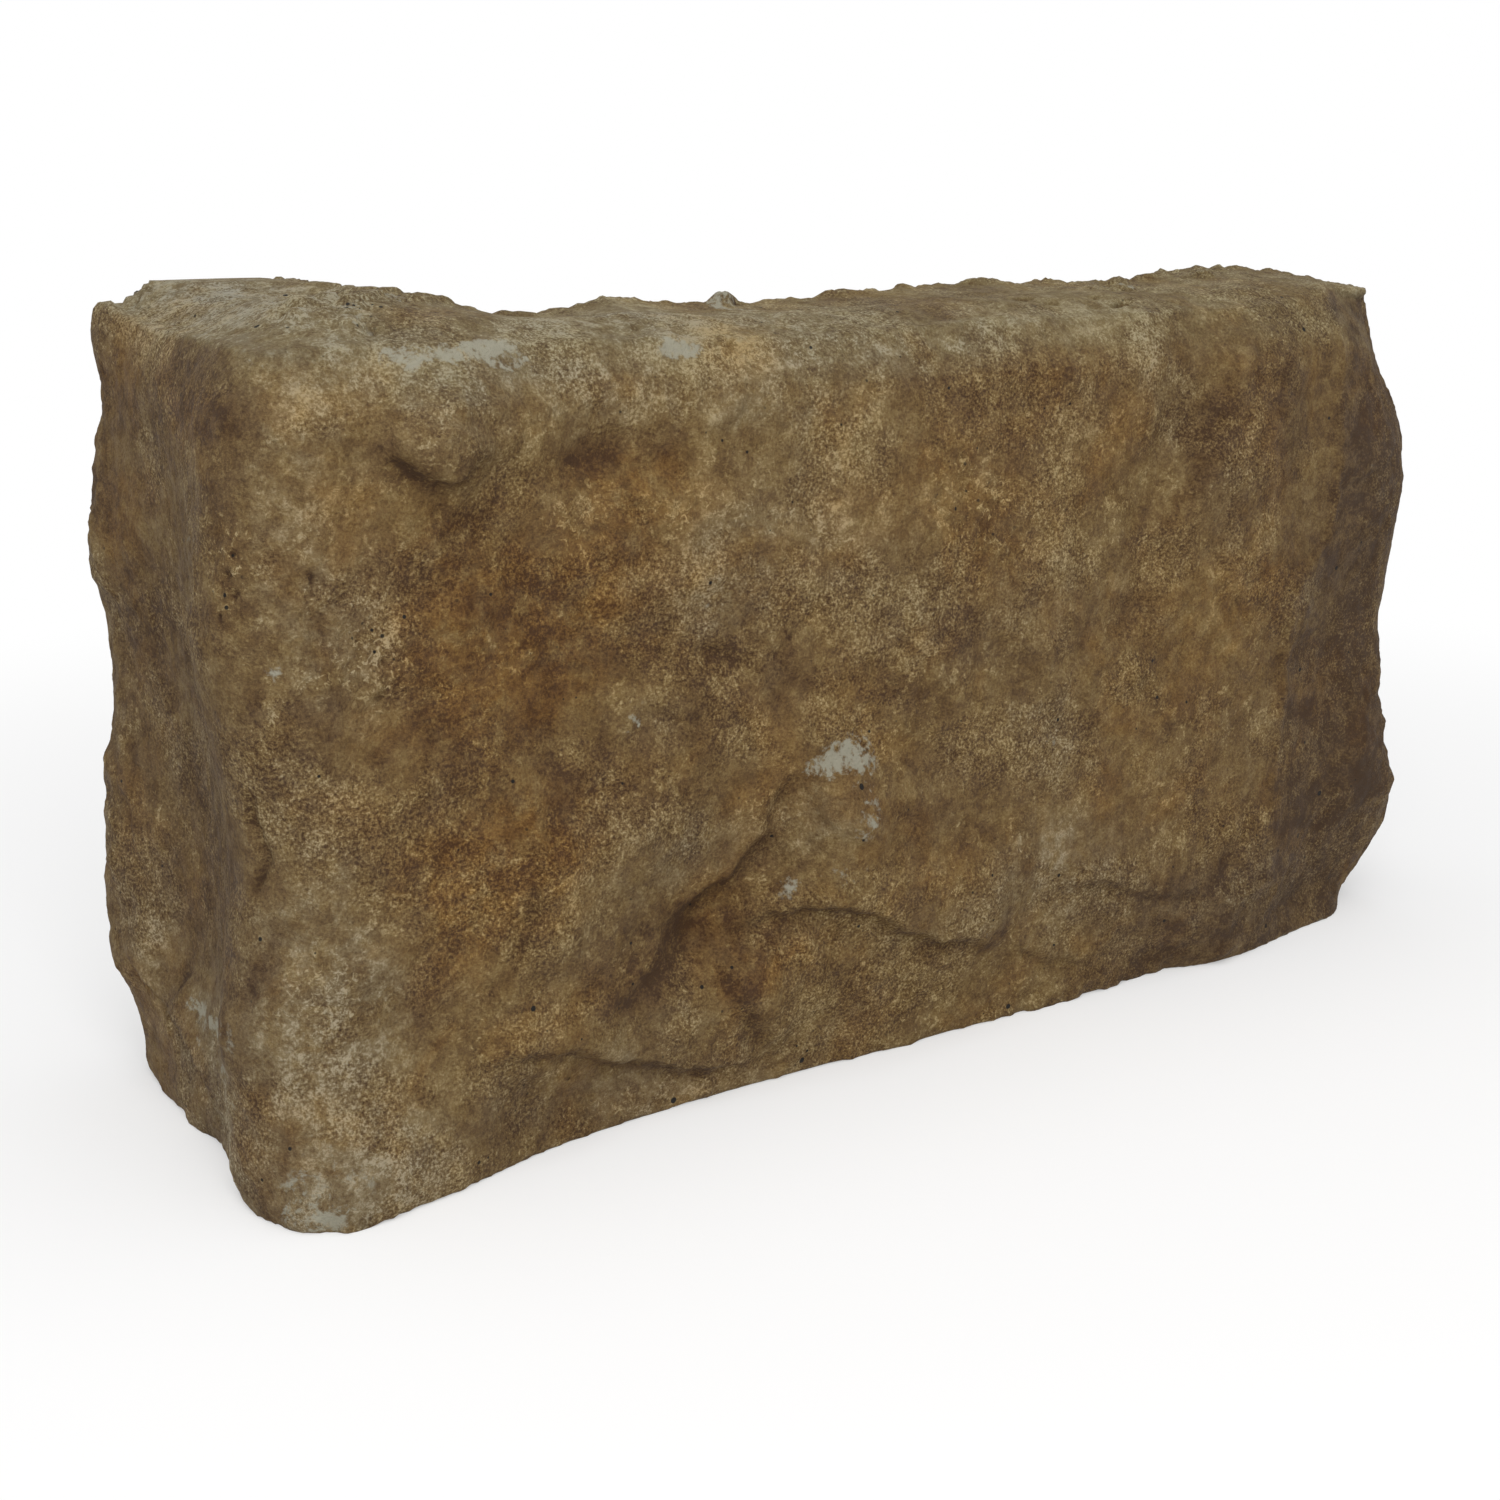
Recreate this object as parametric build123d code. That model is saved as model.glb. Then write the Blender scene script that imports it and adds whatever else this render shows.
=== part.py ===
from build123d import *

import os
from itertools import pairwise
from math import cos, exp, radians, sin, sqrt
from typing import NamedTuple

# A cast stone cladding corner: one L-shaped casting that wraps the outside corner of a wall.
#
# The frame is the wall's own: its corner stands on the Z axis, the long leg lies along +X and the
# short leg along +Y, so the stone looks towards -X and -Y. It stands on its base at Z = 0.
# Sizes are in millimetres.

# Driving dimensions
thickness = 50.0  # wall face to the nominal rock face
long_leg = 316.0  # wall corner to the long leg's end
short_leg = 57.0  # wall corner to the short leg's end
back_height = 200.0  # base to the top's edge at the wall
top_fall = 7.0  # how much lower the top is near the front than at the wall
shoulder_drop = 3.0  # how much further the top drops where it meets the brow
shoulder_depth = 6.5  # how far in from the nominal face that drop is greatest
shoulder_reach = 6.0  # how far it reaches to either side
heel_radius = 9.0  # the filled inner corner
corner_radius = 18.0  # the outer corner's arris
long_end_radius = 22.0  # the arris at the long leg's end
short_end_radius = 10.0  # the arris at the short leg's end
long_brow = 13.0  # how far the brow draws the long face in, past its rim
short_brow = 8.0  # and the short face
end_brow = 4.0  # and the two ends
brow_rise = 26.0  # the height over which the brow turns in
brow_share = 0.55  # the share of the brow that is left below the rim
toe_inset = 1.0  # how far the face is drawn in at the base
toe_rise = 6.0  # the height over which the toe turns in
hip_softness = 12.0  # how widely the two slopes of the top blend at the corner
turn_spread = 72.0  # the length round each arris over which one brow passes into the next
panel_length = 100.0  # about the longest stretch of the rock face in one panel
column_pitch = 8.0  # spacing of the points along each section of the rock face
row_pitch = 8.0  # spacing of those sections up the face
toe_pitch = 3.0  # up the toe
brow_pitch = 5.0  # and up the brow
top_grid_pitch = 11.0  # spacing of the top's sections and of their points
cut_margin = 12.0  # how far the casting is carried above the back edge before it is struck off
cut_reach = 24.0  # how far the cutting surface reaches past the stone in plan


class Swell(NamedTuple):
    """One swelling of the rock, or a hollow where the rise is negative.

    at is the share of its face from the outer corner, up the share of the height. The reaches
    are half-widths along its own two axes, which lean turns anticlockwise as seen from outside.
    undercut narrows its lower side, which makes a ledge of it, and below 1 its upper side.
    """

    at: float
    up: float
    reach: float
    reach_up: float
    rise: float
    lean: float = 0.0
    undercut: float = 1.0


long_face = [
    Swell(0.055, 0.03, 34, 26, 9.0),  # the swollen toe beside the corner
    Swell(0.118, 0.86, 14, 13, 4.5, 0, 1.5),  # the knob under the brow, with its lip
    Swell(0.235, 0.83, 15, 13, -3.5),  # the pocket beside the knob
    Swell(0.14, 0.34, 24, 34, 3.0),  # the shell above the toe
    Swell(0.31, 0.02, 56, 16, -4.0, 0, 0.7),  # the hollow under the lower ledge
    Swell(0.25, 0.15, 34, 14, 3.0, -3, 1.5),  # the lower ledge
    Swell(0.30, 0.25, 44, 13, -5.5, 40),  # the slanting valley
    Swell(0.25, 0.40, 40, 14, 3.0, 40, 1.3),  # the ridge above the valley
    Swell(0.405, 0.36, 17, 16, 5.0, 0, 1.3),  # the lump that closes the valley
    Swell(0.60, 0.02, 76, 24, -3.5, 0, 0.8),  # the lower edge's long chamfer
    Swell(0.47, 0.24, 46, 17, 3.0, -14, 1.7),  # the curved ledge over the chamfer
    Swell(0.24, 0.60, 44, 30, -3.0),  # the broad dish in the middle
    Swell(0.44, 0.70, 50, 34, 2.5),  # the broad swell beyond it
    Swell(0.56, 0.45, 44, 36, 1.5),  # the swell below that one
    Swell(0.71, 0.77, 12, 40, -4.0, -20),  # the first fold near the end
    Swell(0.79, 0.74, 14, 40, 3.0, -12),  # the rib between the folds
    Swell(0.80, 0.05, 24, 16, 3.5, 0, 1.4),  # the lug at the lower edge
    Swell(0.735, 0.0, 12, 9, -5.0),  # the nick beside the lug
    Swell(0.95, 0.50, 34, 190, -6.0),  # the facet that turns to the end
]
long_end = [
    Swell(0.20, 0.69, 44, 34, 7.0),  # the upper swell of the end
    Swell(0.20, 0.22, 44, 34, 9.0),  # the lower swell of the end
    Swell(0.20, 0.0, 44, 16, -6.0),  # the end's broken foot
    Swell(0.20, 0.93, 44, 24, -7.0),  # the end's worn shoulder
]
short_face = [
    Swell(0.12, 0.64, 20, 36, 6.0),  # the corner's upper shoulder
    Swell(0.10, 0.22, 20, 26, 7.0),  # the corner's lower shoulder
    Swell(0.52, 0.42, 26, 70, -5.5),  # the long hollow beside the corner
    Swell(0.95, 0.66, 26, 26, 6.0),  # the upper swell at the end
    Swell(0.95, 0.28, 26, 34, 8.5),  # the lower swell at the end
    Swell(0.55, 0.10, 24, 15, 3.0, 35),  # the ridge over the short toe
    Swell(0.06, 0.0, 24, 22, 3.0),  # the toe beside the corner
    Swell(0.95, 0.88, 26, 16, -3.0),  # the end's upper edge
]
short_end = [
    Swell(0.6, 0.66, 44, 34, 2.0),  # the end's upper swell
    Swell(0.6, 0.20, 44, 34, 2.5),  # the end's lower swell
]
# Swells of the top: x and y as shares of the legs from the wall corner, the rest as above.
top_rises = [
    Swell(-0.06, -0.3, 28, 26, 3.0),  # the heaped corner
    Swell(0.11, 0.0, 20, 24, -5.0),  # the dip beside it
    Swell(0.32, 0.0, 48, 40, -5.0),  # the long dip in the edge
    Swell(0.55, 0.0, 30, 30, -1.5),  # the far rise, a little below the back edge
    Swell(0.70, 0.0, 24, 30, -3.5),  # the second dip
    Swell(1.02, 0.0, 30, 60, -5.5),  # the fall to the long end
    Swell(-0.05, 0.5, 30, 40, 2.5),  # the short leg's high middle
    Swell(-0.12, 1.0, 26, 28, 4.0),  # its raised outer end
]

outline = FilletPolyline(
    (0, short_leg),
    (-thickness, short_leg),
    (-thickness, -thickness),
    (long_leg, -thickness),
    (long_leg, 0),
    radius=[short_end_radius, corner_radius, long_end_radius],
)


def bump(swell, along, up):
    """How far one swell lifts the rock, from the distances to its middle."""
    turn = radians(swell.lean)
    across = (along * cos(turn) + up * sin(turn)) / swell.reach
    over = (up * cos(turn) - along * sin(turn)) / swell.reach_up
    if over < 0:
        over *= swell.undercut
    return swell.rise * exp(-(across**2 + over**2))


def arris_middles():
    """The distances along the outline of its three rounded arrises."""
    found, run = [], 0.0
    for edge in outline.edges():
        if edge.geom_type == GeomType.CIRCLE:
            found.append(run + edge.length / 2)
        run += edge.length
    return found


short_end_at, corner_at, long_end_at = arris_middles()
# Each group of swells, with the outline distances of its face's start and end.
faces = [
    (long_face, corner_at, long_end_at),
    (long_end, long_end_at, outline.length),
    (short_face, corner_at, short_end_at),
    (short_end, short_end_at, 0.0),
]


def relief(along, height):
    """How far the rock stands out of the outline there."""
    total = 0.0
    for swells, start, end in faces:
        for swell in swells:
            middle = start + swell.at * (end - start)
            total += bump(swell, along - middle, height - swell.up * back_height)
    return total


def smooth(share):
    """An even, soft passage from 0 to 1."""
    share = min(max(share, 0), 1)
    return share**2 * (3 - 2 * share)


def brow_depth(along):
    """How far the brow draws in there, which passes from one face to the next at each arris."""
    turns = [
        (short_end_at, short_brow - end_brow),
        (corner_at, long_brow - short_brow),
        (long_end_at, end_brow - long_brow),
    ]
    return end_brow + sum(
        change * smooth((along - middle) / turn_spread + 0.5) for middle, change in turns
    )


def inset(height, rim, brow):
    """How far the brow, under a top struck at the rim, and the toe draw the face in."""
    browed = brow * smooth((height - rim) / brow_rise + brow_share)
    return browed + toe_inset * (1 - sqrt(smooth(height / toe_rise)))


def steps(start, end, pitch):
    """Evenly spaced values from start to end, near that pitch."""
    count = max(1, round((end - start) / pitch))
    return [start + (end - start) * i / count for i in range(count + 1)]


def section_heights():
    """The heights of the rock face's sections, closer together at the toe and the brow."""
    brow_foot = back_height - top_fall - brow_rise * brow_share
    heights = steps(0, toe_rise, toe_pitch)
    heights += steps(toe_rise, brow_foot, row_pitch)[1:]
    return heights + steps(brow_foot, back_height + cut_margin, brow_pitch)[1:]


def stations_and_joints():
    """The distances along the outline of each section's points, and which of them end a panel."""
    stations, joints = [0.0], [0]
    for edge in outline.edges():
        panel_ends = steps(stations[-1], stations[-1] + edge.length, panel_length)
        for start, end in pairwise(panel_ends):
            stations += steps(start, end, column_pitch)[1:]
            joints.append(len(stations) - 1)
    return stations, joints


def sections():
    """The level sections of the rock, round both faces, both ends and the arrises.

    Each is a row of splines, one to a panel, that run smoothly into each other.
    """
    stations, joints = stations_and_joints()
    spots = [outline.position_at(d, position_mode=PositionMode.LENGTH) for d in stations]
    tangents = [outline.tangent_at(d, position_mode=PositionMode.LENGTH) for d in stations]
    outwards = [Vector(tangent.Y, -tangent.X, 0) for tangent in tangents]
    brows = [brow_depth(d) for d in stations]
    rims = []
    for spot, outward, brow in zip(spots, outwards, brows):
        struck = spot - outward * brow * smooth(brow_share)
        rims.append(top_height(struck.X, struck.Y))
    found = []
    for height in section_heights():
        points = []
        for along, spot, outward, rim, brow in zip(stations, spots, outwards, rims, brows):
            out = relief(along, height) - inset(height, rim, brow)
            points.append(spot + outward * out + Vector(0, 0, height))
        whole = Edge.make_spline(points, parameters=stations)
        row = []
        for i, j in pairwise(joints):
            slopes = [whole.tangent_at(points[i]), whole.tangent_at(points[j])]
            row.append(Edge.make_spline(points[i : j + 1], tangents=slopes))
        found.append(row)
    return found


def heel(height):
    """The arc that fills the inner corner, from the short leg's wall face to the long leg's."""
    middle = (heel_radius, heel_radius, height)
    return CenterArc(middle, heel_radius, start_angle=180, arc_size=90).edge()


def cap(row, height):
    """The flat face at that height inside the section, the wall faces and the heel."""
    arc = heel(height)
    to_heel, from_heel = Line(row[-1] @ 1, arc @ 1), Line(arc @ 0, row[0] @ 0)
    return Face(Wire([*row, to_heel, arc, from_heel]))


def blank():
    """The casting before its top is struck: rock face, flat wall faces, flat caps and heel."""
    found = sections()
    top = back_height + cut_margin
    foot, head = heel(0), heel(top)
    skin = []
    for lower, upper in pairwise(found):
        skin += [Face.make_surface_from_curves(*pair) for pair in zip(lower, upper)]
    short_line = [row[0] @ 0 for row in found]
    long_line = [row[-1] @ 1 for row in found]
    short_wall = Face(Wire(Polyline(*short_line, head @ 0, foot @ 0, close=True).edges()))
    long_wall = Face(Wire(Polyline(*long_line, head @ 1, foot @ 1, close=True).edges()))
    fill = Face.extrude(foot, Vector(0, 0, top))
    caps = [cap(found[0], 0), cap(found[-1], top)]
    return Solid(Shell([*skin, *caps, short_wall, long_wall, fill]))


def blended_depth(x, y):
    """The distance in from the nearer outer face, with the two blended at the corner."""
    a, b = x + thickness, y + thickness
    spread = max(hip_softness - abs(a - b), 0) / hip_softness
    return min(a, b) - spread**2 * hip_softness / 4


def top_height(x, y):
    """The height of the top over a point of the plan."""
    depth = min(max(blended_depth(x, y), 0), thickness)
    height = back_height - top_fall * (1 - depth / thickness)
    height -= shoulder_drop * exp(-(((depth - shoulder_depth) / shoulder_reach) ** 2))
    for swell in top_rises:
        height += bump(swell, x - swell.at * long_leg, y - swell.up * short_leg)
    return height


def top_cutter():
    """The waste above the top, under which the casting is struck off."""
    spread = thickness + cut_reach
    across = steps(-spread, long_leg + spread, top_grid_pitch)
    rows = []
    for y in steps(-spread, short_leg + spread, top_grid_pitch):
        points = [Vector(x, y, top_height(x, y)) for x in across]
        rows.append(Wire([Edge.make_spline(points, parameters=across)]))
    surface = Shell.make_loft(rows).face()
    return Solid.extrude(surface, Vector(0, 0, cut_margin + cut_reach))


def corner_stone():
    """The whole casting."""
    body = blank() - top_cutter()
    return body.solids().sort_by(SortBy.VOLUME)[-1]


os.makedirs("parts", exist_ok=True)
export_step(corner_stone(), "parts/corner_stone.step")
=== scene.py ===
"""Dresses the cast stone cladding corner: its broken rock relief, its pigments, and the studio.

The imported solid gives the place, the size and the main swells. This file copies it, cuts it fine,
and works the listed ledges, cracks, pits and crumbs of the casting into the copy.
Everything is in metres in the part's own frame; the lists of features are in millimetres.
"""

import logging
import math
from dataclasses import dataclass, field
from enum import Enum

import bmesh
import bpy
import numpy as np
from mathutils import Euler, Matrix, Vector

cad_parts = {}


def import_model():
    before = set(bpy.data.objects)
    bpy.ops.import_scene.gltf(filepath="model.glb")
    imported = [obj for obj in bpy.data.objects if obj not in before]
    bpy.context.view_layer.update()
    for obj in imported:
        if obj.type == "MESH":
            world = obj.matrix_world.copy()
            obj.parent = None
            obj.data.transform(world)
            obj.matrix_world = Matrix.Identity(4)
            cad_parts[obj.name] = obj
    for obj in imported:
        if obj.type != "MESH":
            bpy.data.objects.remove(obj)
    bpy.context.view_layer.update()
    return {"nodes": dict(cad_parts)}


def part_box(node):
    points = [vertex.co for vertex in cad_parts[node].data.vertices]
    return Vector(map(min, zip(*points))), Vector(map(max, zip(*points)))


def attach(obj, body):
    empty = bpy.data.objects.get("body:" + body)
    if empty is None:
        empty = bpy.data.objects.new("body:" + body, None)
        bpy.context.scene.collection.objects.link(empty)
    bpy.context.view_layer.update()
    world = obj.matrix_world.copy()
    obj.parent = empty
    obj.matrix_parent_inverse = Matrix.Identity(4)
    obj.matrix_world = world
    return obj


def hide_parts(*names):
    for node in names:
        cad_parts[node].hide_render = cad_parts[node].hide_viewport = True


log = logging.getLogger("corner_stone")
MM = 0.001


class Side(Enum):
    """A side of the stone: the axes that run along it and up it, its normal's axis and sense."""

    LONG = (0, 2, 1, -1)
    SHORT = (1, 2, 0, -1)
    END = (1, 2, 0, 1)
    TOP = (0, 1, 2, 1)

    @property
    def along(self) -> tuple[int, int]:
        """The axes that run along the side and up it."""
        return self.value[:2]

    def outward(self, normals: np.ndarray) -> np.ndarray:
        """How far each normal looks out of the side, from -1 to 1."""
        return normals[:, self.value[2]] * self.value[3]


class Tint(Enum):
    """The pigments and bare patches that a stain can be; the slate tint is painted shade, and umber partly
    painted shade on low ground.
    """

    UMBER = "umber"
    OCHRE = "ochre"
    OLIVE = "olive"
    BARE = "bare"
    DUST = "dust"
    ROUGH = "rough"
    # painted shade, not a pigment
    SLATE = "slate"


@dataclass(frozen=True)
class Crease:
    """A crack, ledge or fold that runs along a line of points on one side.

    depth is the groove's, width its half-width. step lifts the ground left of the line, as one
    looks along it from outside, and fade is how far from the line that lift dies out.
    """

    side: Side
    points: tuple[tuple[float, float], ...]
    depth: float
    width: float
    step: float = 0.0
    fade: float = 10.0


@dataclass(frozen=True)
class Facet:
    """Ground that falls away beyond a line, to its right as one looks along it, by fall in each mm.

    It falls no further than most, and takes so much painted shade, the dark slate tint.
    """

    side: Side
    points: tuple[tuple[float, float], ...]
    fall: float
    most: float
    shade: float = 0.0


@dataclass(frozen=True)
class Mound:
    """A lump, or a pit where the rise is negative, with its half-widths and its turn."""

    side: Side
    at: tuple[float, float]
    reach: tuple[float, float]
    rise: float
    turn: float = 0.0
    edge: float = 2.0


@dataclass(frozen=True)
class Stain:
    """A patch of one pigment, with its half-widths, its turn and its strength."""

    side: Side
    tint: Tint
    at: tuple[float, float]
    reach: tuple[float, float]
    strength: float
    turn: float = 0.0


def stain_rows(side: Side, tint: Tint, *rows: tuple[float, ...]) -> tuple[Stain, ...]:
    """Makes stains of one tint on one side.

    Args:
        side: the side.
        tint: the tint.
        rows: for each, its place across and up, its two half-widths, its strength and its turn.

    Returns:
        the stains.
    """
    return tuple(Stain(side, tint, row[:2], row[2:4], *row[4:]) for row in rows)


def mound_rows(side: Side, *rows: tuple[float, ...]) -> tuple[Mound, ...]:
    """Makes mounds on one side.

    Args:
        side: the side.
        rows: for each, its place across and up, its two half-widths, its rise, turn and edge.

    Returns:
        the mounds.
    """
    return tuple(Mound(side, row[:2], row[2:4], *row[4:]) for row in rows)


LONG, SHORT, END, TOP = Side.LONG, Side.SHORT, Side.END, Side.TOP
UMBER, OCHRE, OLIVE = Tint.UMBER, Tint.OCHRE, Tint.OLIVE
BARE, DUST, ROUGH, SLATE = Tint.BARE, Tint.DUST, Tint.ROUGH, Tint.SLATE

CREASES = (
    # the knob's undercut lip
    Crease(LONG, ((-20, 177), (-18, 170), (-13, 165.5), (-7, 164), (-2, 166), (2, 170)), 1.4, 2.2, 3.8, 11),
    # the shell's curved edge, its left side proud
    Crease(LONG, ((4, 88), (9, 82), (11, 74), (10, 63), (6, 53), (-1, 46), (-7, 40)), 0.7, 1.2, 2.2, 11),
    # the lower ledge
    Crease(
        LONG,
        ((-4, 30), (8, 28.5), (20, 26.5), (30, 20), (42, 15), (60, 9.5), (80, 7)),
        1.0, 1.8, 4.0, 12,
    ),
    # the crack at the lump's left, that runs on down the slanting valley
    Crease(
        LONG,
        ((93, 85), (86, 82), (81, 77), (80, 70), (77, 65), (70, 58), (60, 52.5), (47, 48)),
        1.0, 3.2, -4.2, 16,
    ),
    # the valley's foot
    Crease(LONG, ((64, 49), (52, 42), (38, 35), (29, 29)), 0.8, 3.2, -1.8, 11),
    # the thin curved crack over the chamfer
    Crease(
        LONG,
        ((66, 45), (75, 46.5), (85, 48.5), (96, 48), (108, 43), (120, 36), (130, 31), (141, 30), (153, 22)),
        0.8, 1.5, 3.8, 13,
    ),
    # the curve at the lower middle
    Crease(LONG, ((60, 37), (66, 31), (71, 25), (77, 15), (82, 7)), 0.7, 2.2, 2.2, 10),
    # the folds by the far end
    Crease(
        LONG,
        ((231, 183), (225, 168), (222, 155), (218, 146), (211, 137), (203, 131)),
        0.6, 2.6, 2.0, 13,
    ),
    Crease(LONG, ((250, 180), (246, 165), (238, 152), (228, 144)), 0.45, 2.5, 0.8, 10),
    Crease(LONG, ((241, 184), (234, 168), (230, 156)), 0.3, 1.4, -0.5, 8),
    # the crest where the long face turns
    Crease(
        LONG,
        (
            (277, 186), (276, 164), (275, 135), (274, 124), (266, 118),
            (259, 108), (259, 84), (257, 60), (254, 40),
        ),
        -0.7, 1.6, 1.0, 14,
    ),
    # the low ridges by the far end
    Crease(LONG, ((172, 36), (190, 35), (210, 27), (230, 24)), 0.5, 1.6, 1.8, 10),
    Crease(LONG, ((157, 23), (175, 15), (191, 10)), 0.6, 1.5, 1.4, 9),
    # the middle's dark pit and the crack beyond it
    Crease(LONG, ((57, 119), (64, 117), (71, 113)), 0.8, 1.6, 0.6, 8),
    Crease(LONG, ((76, 112), (84, 119), (88, 125), (92, 130)), 0.5, 1.1, 0.4, 7),
    Crease(LONG, ((38, 98), (43, 106), (52, 103), (62, 103)), 0.5, 1.4, 0.8, 8),
    # the break between the lit and the dark facet of the end
    Crease(LONG, ((279, 138), (291, 141.5), (303, 146), (312, 150)), 0.3, 1.0, 1.1, 10),
    # the crack along the corner and the gouge below it
    Crease(SHORT, ((-42, 100), (-40.5, 92), (-42, 84), (-39.5, 75)), 1.5, 1.0, -0.8, 7),
    Crease(SHORT, ((-47, 72), (-45, 64), (-43, 55), (-40, 48)), 1.1, 2.4, -0.6, 8),
    Crease(SHORT, ((12, 43), (23, 27), (6, 21)), 0.9, 1.4, 0.8, 8),
    Crease(SHORT, ((44, 42), (33, 31), (15, 24.5), (-2, 18), (-7, 9)), 0.9, 1.6, 2.6, 10),
    Crease(SHORT, ((46, 92), (37, 74), (32, 60)), 0.5, 1.4, 0.7, 8),
)

FACETS = (
    # the far end, beyond the crest where the long face turns, which also takes painted shade
    Facet(
        LONG,
        ((252, -45), (256, 40), (258, 84), (264, 112), (275, 128), (277, 164), (280, 245)),
        0.16, 4.5, 0.95,
    ),
    # the low chips beside it, with painted shade too
    Facet(LONG, ((180, -30), (222, 8), (247, 19), (262, 36), (284, 44), (350, 56)), 0.16, 2.6, 0.8),
    # the ground below the lower ledge
    Facet(LONG, ((-4, 30), (8, 28.5), (20, 26.5), (30, 20), (42, 15), (60, 9.5), (90, 4)), 0.16, 2.4),
)

MOUNDS = (
    # the outline of the short leg's far end and of the long leg's
    *mound_rows(
        SHORT,
        (52, 194, 24, 15, 4.2), (50, 150, 20, 9, -1.5), (48, 124, 24, 15, -5), (50, 62, 20, 16, -2),
        (50, 34, 20, 7, 2), (20, 3, 26, 7, 2.6), (-46, 3, 9, 8, -2.2),
    ),
    *mound_rows(
        END,
        (-26, 92, 40, 34, 2.4), (-26, 30, 40, 20, 4.6), (-26, 180, 40, 13, -1.4),
    ),
    *mound_rows(
        TOP,
        (-13, 4, 9, 17, -2.8), (-22, 44, 12, 10, 1.6),
    ),
    Mound(LONG, (-8, 173), (14, 9), 2.8),  # the knob
    Mound(LONG, (6, 174.5), (3.2, 2.4), -1.6),  # the small pit beside it
    Mound(LONG, (33, 165.5), (7, 5), -2.6),  # the dark hollow
    Mound(LONG, (24, 163), (3.5, 3.5), -1.2),
    Mound(LONG, (42, 159), (10, 4), 1.8, -35),  # the ridge past it
    Mound(LONG, (64, 117), (8, 4.5), -2.0, -15),  # the middle pit
    Mound(LONG, (96, 72), (12, 14), 3.0),  # the lump
    Mound(LONG, (103, 87), (6, 5), 1.2),
    Mound(LONG, (-36, 137), (3, 9), -1.0),  # the rough strip
    Mound(LONG, (44, 18), (16, 7), -1.4, -20),  # under the lower ledge
    Mound(LONG, (110, 28), (7, 3), -1, 20),
    Mound(LONG, (235, 9), (10, 7), 1.4),  # the lug
    *mound_rows(
        SHORT,
        (-4, 34, 4, 4, 1.4), (-35, 43, 4, 6, 1.8), (-28, 40, 2.4, 5, -1.2),
    ),
    # the struck top: mortar crumbs along its back edge
    *mound_rows(
        TOP,
        (-24, -22, 3.2, 2.6, 1.6, 20, 4), (-14, -24, 2.8, 2.4, 2, 0, 4), (-19, -34, 3.2, 2.4, 1.2, 40, 4),
        (-9, -21, 2.8, 2.2, 2, 10, 4), (-28, -29, 2.4, 2.8, 1.3, 0, 4), (-16, -16, 2.4, 2.2, 1.8, 0, 4),
        (-5, -14, 3.4, 2.4, 2.3, 30, 4), (3, -5, 3.2, 2.4, 2.2, 0, 4), (6, -15, 2.6, 2.2, 1.5, 0, 4),
        (15, -4, 4.5, 2, 1.6, 0, 4), (36, -3, 5.5, 2.2, 1.3, 0, 4), (93, -5, 4.4, 2.8, 3, 8, 4),
        (96, -7, 1.6, 1.4, -1.6), (130, -3, 6, 2, 1.2, 0, 4), (176, -3, 5, 2, 1.4, 0, 4),
        (216, -19, 5, 3.4, 1.8, 15, 4), (224, -8, 3.6, 2.6, 2.2, 0, 4), (238, -4, 4.6, 2.2, 1.6, 0, 4),
        (254, -12, 3, 2.4, 1.8, 0, 4), (-48, 40, 4, 5, 1.4, 0, 4), (-30, 52, 5, 3, 1.4, 0, 4),
    ),
    # pits in the struck top
    *mound_rows(
        TOP,
        (-17, -31, 1.2, 1, -2), (-15, -37, 1.2, 0.9, -1.8), (-22, -26, 1, 0.9, -1.6),
        (-30, -25, 1.5, 1.1, -2), (-12, -28, 1, 0.9, -1.5), (-39, 47, 2, 0.9, -1.6, 60),
        (31, -16, 1.2, 0.9, -1.6), (58, -28, 1.5, 0.9, -1.8), (50, -36, 1.2, 0.9, -1.5),
        (54, -45, 1.9, 1.2, -1.2), (71, -44, 1.2, 0.9, -1.4), (91, -29, 1.3, 0.9, -1.7),
        (171, -29, 2, 1, -2.2), (178, -33, 2.8, 0.9, -2.4, 10), (194, -31, 1.3, 1, -1.8),
        (200, -36, 3.4, 1.2, -2.8, 18), (197, -43, 1.2, 0.9, -1.5), (205, -44, 1.1, 0.8, -1.4),
        (226, -21, 1.4, 1, -1.8),
    ),
    # the porous crumb at the far corner
    *mound_rows(
        END,
        (-20, 191, 4.5, 4, 1.8, 0, 4), (-17, 188, 1.4, 1.4, -2.2), (-23, 193, 1.2, 1.4, -2),
        (-14, 193, 1.3, 1.2, -1.8),
    ),
    # the porous strip down the corner
    *mound_rows(
        SHORT,
        (-43, 151, 0.7, 0.9, -0.9), (-42, 147, 0.9, 0.7, -1, 30), (-44, 143, 0.7, 1.4, -1, 15),
        (-41, 138, 0.6, 0.8, -0.8),
    ),
    *mound_rows(
        LONG,
        (-37, 146, 0.8, 1.6, -1, 10), (-35, 134, 0.6, 1.8, -0.8, 5), (-30, 127, 0.8, 0.6, -0.8),
        (-26, 122, 0.7, 0.7, -0.8), (-22, 119, 0.9, 0.6, -0.9, 20),
    ),
    # the corner's foot and the far end's lower chips
    *mound_rows(
        LONG,
        (-30, 70, 12, 26, 1), (262, 26, 16, 12, 1.4),
    ),
)

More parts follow.
